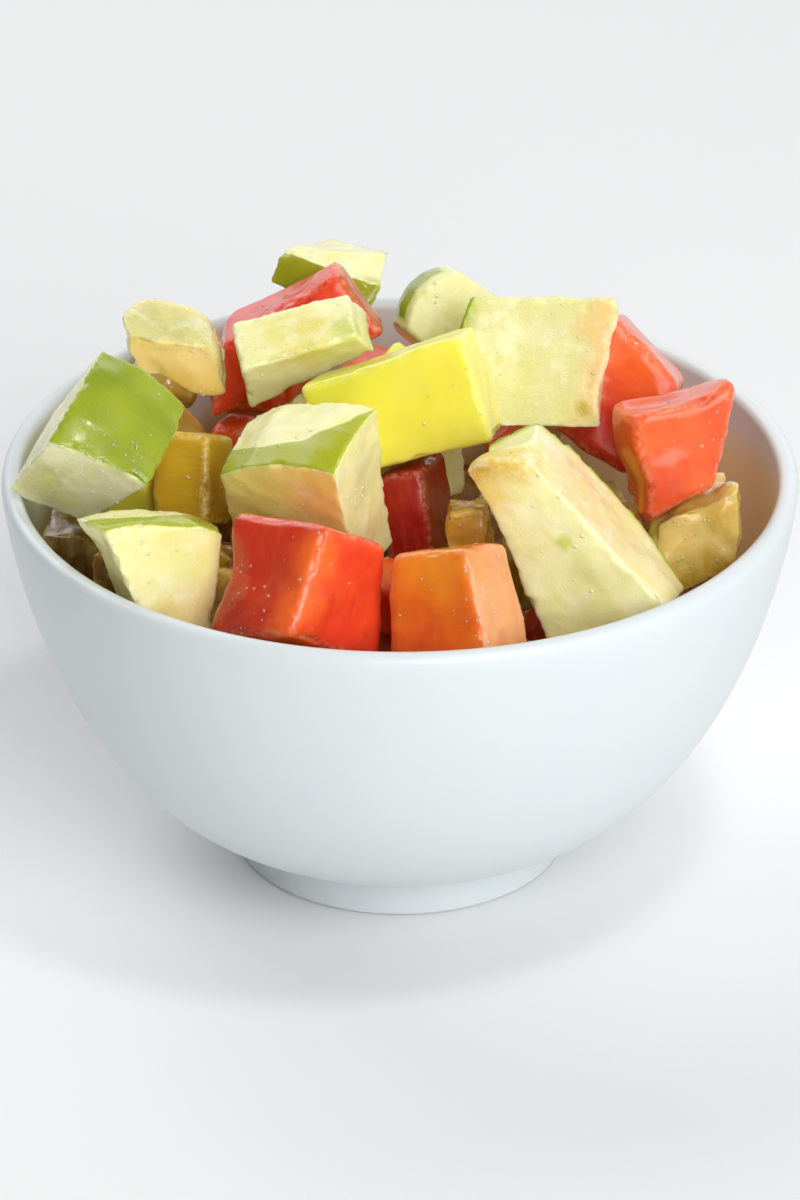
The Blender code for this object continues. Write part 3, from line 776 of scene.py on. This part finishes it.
def skin_split(mesh):
    """Two search trees of an apple's solid: its skin side, and its cut sides."""
    mesh.faces.ensure_lookup_table()
    found = skin_faces(mesh)
    points = [vert.co.copy() for vert in mesh.verts]
    skin = [[vert.index for vert in face.verts] for face in mesh.faces if face in found]
    cut = [[vert.index for vert in face.verts] for face in mesh.faces if face not in found]
    return BVHTree.FromPolygons(points, skin), BVHTree.FromPolygons(points, cut)


RELIEF = {
    # kind: (height, size) of wide, middling and fine waves, and of the crumbling at edges, in mm
    "apple": ((0.45, 8.0), (0.12, 3.0), (0.06, 1.3), (0.20, 1.0)),
    "papaya": ((0.60, 8.0), (0.16, 3.0), (0.05, 1.2), (0.12, 1.4)),
    "mango": ((0.40, 9.0), (0.10, 3.0), (0.04, 1.4), (0.14, 1.2)),
    "pineapple": ((0.60, 6.0), (0.20, 2.6), (0.08, 1.2), (0.16, 1.2)),
}
SMOOTHING = {"apple": 3, "papaya": 6, "mango": 5, "pineapple": 7}
EDGE_BEND = math.radians(28.0)
EDGE_STEP = 0.5 * MM
EDGE_REACH = 1.3 * MM
CHIP = 0.5 * MM                  # how deep a chip in an edge is
CUT_BACK = 0.15 * MM             # keeps the relief inside the solid
LOBE_SIZE = 8.5 * MM
LOBE_DEPTH = 0.8 * MM


def bareness(name, place, seed):
    """How far a place on the skin side is inside the bare part, in metres."""
    if name not in BARE:
        return -1.0
    point, way, bend = BARE[name]
    across = Vector((place.x, place.y)) / MM - Vector(point)
    along = across.dot(Vector(way))
    side = across.dot(Vector((way[1], -way[0])))
    return (along - bend * side * side + 0.5 * wave(place, 3.0 * MM, seed)) * MM


def lobes(at, seed):
    """0 in the grooves between a pineapple's segments, and 1 on top of them."""
    cells = noise.voronoi(at / LOBE_SIZE + Vector((seed * 1.7, seed * 0.9, 0.0)))[0]
    return step(cells[1] - cells[0], 0.0, 0.55)


def edge_tree(mesh):
    """A search tree of points along a solid's sharp edges."""
    points = []
    for edge in mesh.edges:
        if len(edge.link_faces) == 2 and edge.calc_face_angle() > EDGE_BEND:
            start, end = (vert.co for vert in edge.verts)
            steps = max(1, int((end - start).length / EDGE_STEP))
            points += [start.lerp(end, index / steps) for index in range(steps + 1)]
    tree = KDTree(len(points))
    for index, point in enumerate(points):
        tree.insert(point, index)
    tree.balance()
    return tree


def pushed(name, place):
    """How far a place on a chunk is pressed out of its cut shape."""
    total = Vector((0.0, 0.0, 0.0))
    for where, radius, push in PUSHED.get(name, ()):
        distance = (place - Vector(where) * MM).length / (radius * MM)
        total += Vector(push) * MM * (1.0 - step(distance, 0.1, 1.0))
    return total


def with_tints_and_painted_light(colour, tints_and_light, place, normal, seed):
    """A colour after a chunk's tints and painted light and shade, at a place and normal in the
    frame's own axes.
    """
    for kind, where, *rest in tints_and_light:
        if kind == "side":
            tint, share = rest
            amount = step(normal.dot(Vector(where).normalized()), 0.35, 0.85)
        else:
            radius, tint, share = rest
            distance = (place - Vector(where) * MM).length / (radius * MM)
            distance += 0.25 * wave(place, 0.5 * radius * MM, seed)
            amount = 1.0 - step(distance, 0.35, 1.15)
        colour = mix(colour, tint, amount * share)
    return colour


def add_chunk(name):
    kind = kind_of(name)
    source = solid_copy(name)
    has_skin = kind == "apple" and name not in SKINLESS
    trees = skin_split(source) if has_skin else None
    edges = edge_tree(source)
    plain = bpy.data.meshes.new(name + "_plain")
    source.to_mesh(plain)
    source.free()
    hidden = "_under_" in name
    data = fine_copy(plain, name + "_cut", HIDDEN_VOXEL if hidden else VOXEL, SMOOTHING[kind])
    seed = 1 + sorted(TURNS).index(name)
    wide, middling, fine, crumbling = RELIEF[kind]
    flesh, drift = FLESH_AND_DEEP_SHADE.get(name, KIND_FLESH[kind])
    axes = local_frame(name)
    turn = axes.to_3x3()
    inverse = turn.transposed()
    tones = []
    skins = []
    rinds = []
    near_edges = []
    normals = [vert.normal.copy() for vert in data.vertices]
    for vert, normal in zip(data.vertices, normals):
        at = vert.co.copy()
        skin = -1.0
        if has_skin:
            to_skin = trees[0].find_nearest(at)[3]
            to_cut = trees[1].find_nearest(at)[3]
            skin = to_cut - to_skin + SKIN_REACH.get(name, 0.0) * MM
            bare = bareness(name, axes @ at, seed)
            if skin > -0.5 * MM and bare > -0.5 * MM:
                skin = min(skin, -4.0 * bare)
        smooth_skin = step(skin, -0.5 * MM, 0.5 * MM)
        near_edge = 1.0 - step(edges.find(at)[2], 0.1 * MM, EDGE_REACH)
        relief = wide[0] * wave(at, wide[1] * MM, seed)
        relief += middling[0] * wave(at, middling[1] * MM, seed + 20) * (1.0 - 0.7 * smooth_skin)
        relief += fine[0] * wave(at, fine[1] * MM, seed + 40) * (1.0 - 0.9 * smooth_skin)
        relief += crumbling[0] * wave(at, crumbling[1] * MM, seed + 60) * near_edge
        relief *= MM
        relief -= CHIP * near_edge * step(wave(at, 3.2 * MM, seed + 70), 0.15, 0.55)
        if kind == "pineapple":
            relief -= LOBE_DEPTH * (1.0 - lobes(at, seed))
        place = axes @ at
        vert.co = at + normal * (relief - CUT_BACK) + inverse @ pushed(name, place)
        facing = turn @ normal
        base = mix(flesh, drift, 0.5 + 0.9 * wave(at, 6.0 * MM, seed + 80))
        # the flesh colour, with its tints and painted light and shade
        tones.append(with_tints_and_painted_light(base, TINTS_AND_PAINTED_LIGHT.get(name, ()), place, facing, seed))
        skins.append(skin)
        rind = mix(APPLE_SKIN_DARK, APPLE_SKIN_LIGHT, 0.5 + 0.9 * wave(at, 5.0 * MM, seed + 90))
        # the skin's colour, with its tints and painted highlight
        rinds.append(with_tints_and_painted_light(rind, SKIN_TINTS_AND_PAINTED_LIGHT.get(name, ()), place, facing, seed))
        near_edges.append(near_edge)
    colours = data.attributes.new("tone", "FLOAT_COLOR", "POINT")
    colours.data.foreach_set("color", [value for tone in tones for value in (*tone, 1.0)])
    data.attributes.new("edge", "FLOAT", "POINT").data.foreach_set("value", near_edges)
    if kind == "apple":
        data.attributes.new("skin", "FLOAT", "POINT").data.foreach_set("value", skins)
        green = data.attributes.new("rind", "FLOAT_COLOR", "POINT")
        green.data.foreach_set("color", [value for tone in rinds for value in (*tone, 1.0)])
    slot = "papaya_orange" if name == "papaya_orange_front" else kind
    return put(name + "_cut", data, axes, LOOKS[kind], slot, name)


# ---- what lies under the visible fruit ----

def add_core():
    """The core with its top lowered, so that lumps of fruit stand out of it."""
    plain = bmesh.new()
    plain.from_mesh(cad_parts["core"].data)
    bmesh.ops.remove_doubles(plain, verts=plain.verts, dist=WELD)
    source = bpy.data.meshes.new("core_plain")
    plain.to_mesh(source)
    plain.free()
    data = fine_copy(source, "juice_fruit_and_gap_shade", CORE_VOXEL, 2)
    for vert in data.vertices:
        top = step(vert.co.z, 36.0 * MM, 44.0 * MM)
        vert.co.z += top * (CORE_RELIEF * wave(vert.co, 7.0 * MM, 9) - CORE_DROP)
    return put("juice_fruit_and_gap_shade", data, Matrix.Identity(4), juice_and_gap_shade_material(), "core", "core")


FILL_COUNT = 84
FILL_REACH = 46.0 * MM            # how far out the middles of the lumps lie
FILL_SIZES = (7.0, 12.0)          # mm
FILL_DEPTHS = (2.2, 4.6)          # of their middles under the core solid's crown, in mm
CROWN_EDGE = 45.0 * MM
CROWN = 9.0 * MM                  # how much higher the middle of that crown is
CROWN_RADIUS = 56.0 * MM
FILL_TURN = math.radians(137.5)
FILL_VOXEL = 0.9 * MM
FILL_RELIEF = 0.4 * MM
FILL_SKIN = -4.0 * MM             # no lump shows skin
CORE_VOXEL = 1.6 * MM
CORE_RELIEF = 2.0 * MM
CORE_DROP = 5.0 * MM              # how far its top lies below its solid's
# kind: how common it is, and its colours: juice-soaked, and darker than the chunks' flesh as painted
# shade of the deep gaps
FILL = {
    "apple": (0.30, (0.56, 0.50, 0.16), (0.44, 0.34, 0.09)),
    "papaya": (0.28, (0.46, 0.035, 0.012), (0.58, 0.07, 0.015)),
    "mango": (0.12, (0.56, 0.38, 0.03), (0.48, 0.27, 0.02)),
    "pineapple": (0.30, (0.40, 0.21, 0.025), (0.30, 0.13, 0.015)),
}


def add_fill():
    """The lowest fruit that the gaps show: lumps sunk in the core, one mesh for each kind."""
    chance = random.Random(41)
    meshes = {kind: bmesh.new() for kind in FILL}
    kinds = sorted(FILL)
    for index in range(FILL_COUNT):
        out = FILL_REACH * math.sqrt((index + 0.5) / FILL_COUNT)
        angle = index * FILL_TURN + chance.uniform(-0.2, 0.2)
        crown = CROWN_EDGE + CROWN * (1.0 - (out / CROWN_RADIUS) ** 2)
        middle = Vector((out * math.cos(angle), out * math.sin(angle),
                         crown - chance.uniform(*FILL_DEPTHS) * MM))
        turn = Euler([chance.uniform(0.0, math.pi) for axis in range(3)], "XYZ")
        sizes = [chance.uniform(*FILL_SIZES) * MM for axis in range(3)]
        kind = chance.choices(kinds, [FILL[name][0] for name in kinds])[0]
        matrix = Matrix.Translation(middle) @ turn.to_matrix().to_4x4()
        matrix = matrix @ Matrix.Diagonal((*sizes, 1.0))
        bmesh.ops.create_cube(meshes[kind], size=1.0, matrix=matrix)
    for seed, kind in enumerate(kinds, 60):
        source = bpy.data.meshes.new(kind + "_lumps")
        meshes[kind].to_mesh(source)
        meshes[kind].free()
        data = fine_copy(source, kind + "_fill", FILL_VOXEL, 3)
        flesh, drift = FILL[kind][1:]
        tones = []
        normals = [vert.normal.copy() for vert in data.vertices]
        for vert, normal in zip(data.vertices, normals):
            tones.append(mix(flesh, drift, 0.5 + 0.9 * wave(vert.co, 5.0 * MM, seed)))
            vert.co += normal * FILL_RELIEF * wave(vert.co, 4.0 * MM, seed)
        colours = data.attributes.new("tone", "FLOAT_COLOR", "POINT")
        colours.data.foreach_set("color", [value for tone in tones for value in (*tone, 1.0)])
        if kind == "apple":
            data.attributes.new("skin", "FLOAT", "POINT").data.foreach_set(
                "value", [FILL_SKIN] * len(tones))
        put(kind + "_fill", data, Matrix.Identity(4), LOOKS[kind], kind)


def add_drops(chunks):
    """Juice standing on the fruit: small flattened beads, one mesh for all of them."""
    chance = random.Random(17)
    mesh = bmesh.new()
    tones = []
    for name in sorted(DROPS):
        chunk = chunks[name]
        data = chunk.data
        axes = chunk.matrix_world
        turn = axes.to_3x3()
        flesh = data.attributes["tone"].data
        skin = data.attributes["skin"].data if "skin" in data.attributes else None
        rind = data.attributes["rind"].data if "rind" in data.attributes else None
        for where, radius, count in DROPS[name]:
            centre = Vector(where) * MM
            near = [vert for vert in data.vertices
                    if (axes @ vert.co - centre).length < radius * MM
                    and (turn @ vert.normal).dot(Vector((0.0, -0.7, 0.7))) > 0.1]
            for index in range(round(count * DROP_SHARE) if near else 0):
                vert = chance.choice(near)
                place = axes @ vert.co
                size = DROP_RADII[0] + (DROP_RADII[1] - DROP_RADII[0]) * chance.random() ** 2.0
                lean = (turn @ vert.normal).to_track_quat("Z", "Y").to_matrix().to_4x4()
                shape = Matrix.Diagonal((size * chance.uniform(0.8, 1.4), size,
                                         size * DROP_FLATNESS, 1.0))
                matrix = Matrix.Translation(place) @ lean @ shape
                bmesh.ops.create_icosphere(mesh, subdivisions=2, radius=1.0, matrix=matrix)
                under = rind if skin and skin[vert.index].value > 0.0 else flesh
                tone = tuple(under[vert.index].color)
                tones += [tone] * (len(mesh.verts) - len(tones))
    data = bpy.data.meshes.new("standing_drops")
    mesh.to_mesh(data)
    mesh.free()
    colours = data.attributes.new("tone", "FLOAT_COLOR", "POINT")
    colours.data.foreach_set("color", [value for tone in tones for value in tone])
    return put("standing_drops", data, Matrix.Identity(4), drop_material(), "core")


# ---- stage ----

def add_floor():
    mesh = bmesh.new()
    bmesh.ops.create_grid(mesh, x_segments=8, y_segments=8, size=4.0)
    data = bpy.data.meshes.new("floor")
    mesh.to_mesh(data)
    mesh.free()
    made, tree, shader = new_material("floor")
    clouds = grain(tree, coords(tree), 0.4)
    colour = blend(tree, clouds, FLOOR, (0.85, 0.85, 0.85))
    tree.links.new(colour, shader.inputs["Base Color"])
    shader.inputs["Roughness"].default_value = 0.7
    data.materials.append(made)
    floor = link("floor", data)
    floor.location.z = -0.05 * MM


def toward(elevation, azimuth):
    """A direction: azimuth 0 is right, 90 is behind the bowl, 270 is in front of it."""
    elevation = math.radians(elevation)
    azimuth = math.radians(azimuth)
    return Vector((math.cos(elevation) * math.cos(azimuth),
                   math.cos(elevation) * math.sin(azimuth), math.sin(elevation)))


def add_light():
    """A dim room, a little brighter on the right, and softboxes in front, behind and above."""
    world = bpy.data.worlds.new("room")
    SCENE.world = world
    world.use_nodes = True
    tree = world.node_tree
    background = tree.nodes["Background"]
    way = node(tree, "ShaderNodeTexCoord").outputs["Generated"]
    strength = 0.05
    # direction, from, to, how bright
    for direction, low, high, bright in (((0.93, 0.10, 0.30), 0.0, 1.0, 0.45),
                                         ((-0.05, 0.97, 0.20), 0.60, 0.92, 1.3)):
        facing = node(tree, "ShaderNodeVectorMath", {0: way, 1: direction},
                      operation="DOT_PRODUCT").outputs["Value"]
        part = node(tree, "ShaderNodeMapRange", {
            "Value": facing, "From Min": low, "From Max": high, "To Min": 0.0, "To Max": bright,
        }, interpolation_type="SMOOTHSTEP").outputs[0]
        strength = maths(tree, "ADD", part, strength)
    tree.links.new(strength, background.inputs["Strength"])
    background.inputs["Color"].default_value = (0.97, 0.98, 1.0, 1.0)
    # name, shape, elevation, azimuth, distance, width, height, radiance
    for name, shape, elevation, azimuth, distance, width, height, radiance in (
            ("softbox_front", "RECTANGLE", 31, 293, 2.2, 1.6, 1.6, 5.35),
            ("softbox_back", "RECTANGLE", 42, 131, 1.5, 1.0, 1.0, 2.4),
            ("softbox_over", "ELLIPSE", 72, 320, 1.1, 0.16, 0.16, 24.0)):
        lamp = bpy.data.lights.new(name, "AREA")
        lamp.shape = shape
        lamp.size = width
        lamp.size_y = height
        lamp.energy = radiance * math.pi * width * height
        made = bpy.data.objects.new(name, lamp)
        aim = Vector((0.0, 0.0, 60.0 * MM))
        way_out = toward(elevation, azimuth)
        made.location = aim + way_out * distance
        made.rotation_euler = way_out.to_track_quat("Z", "Y").to_euler()
        SCENE.collection.objects.link(made)


def add_camera():
    elevation = math.radians(CAMERA_ELEVATION)
    distance = CAMERA_DISTANCE
    aim = Vector((0.0, 0.0, CAMERA_AIM))
    lens = bpy.data.cameras.new("camera")
    lens.sensor_width = 36.0
    lens.lens = CAMERA_LENS
    lens.clip_start = 0.05
    made = bpy.data.objects.new("camera", lens)
    away = Vector((0.0, -math.cos(elevation), math.sin(elevation)))
    made.location = aim + away * distance
    made.rotation_euler = (-away).to_track_quat("-Z", "Y").to_euler()
    SCENE.collection.objects.link(made)
    SCENE.camera = made


add_camera()
add_light()
add_floor()
add_bowl()
add_core()
add_fill()
chunks = {chunk_name: add_chunk(chunk_name) for chunk_name in sorted(TURNS)}
add_drops(chunks)

SCENE.view_settings.view_transform = "Standard"
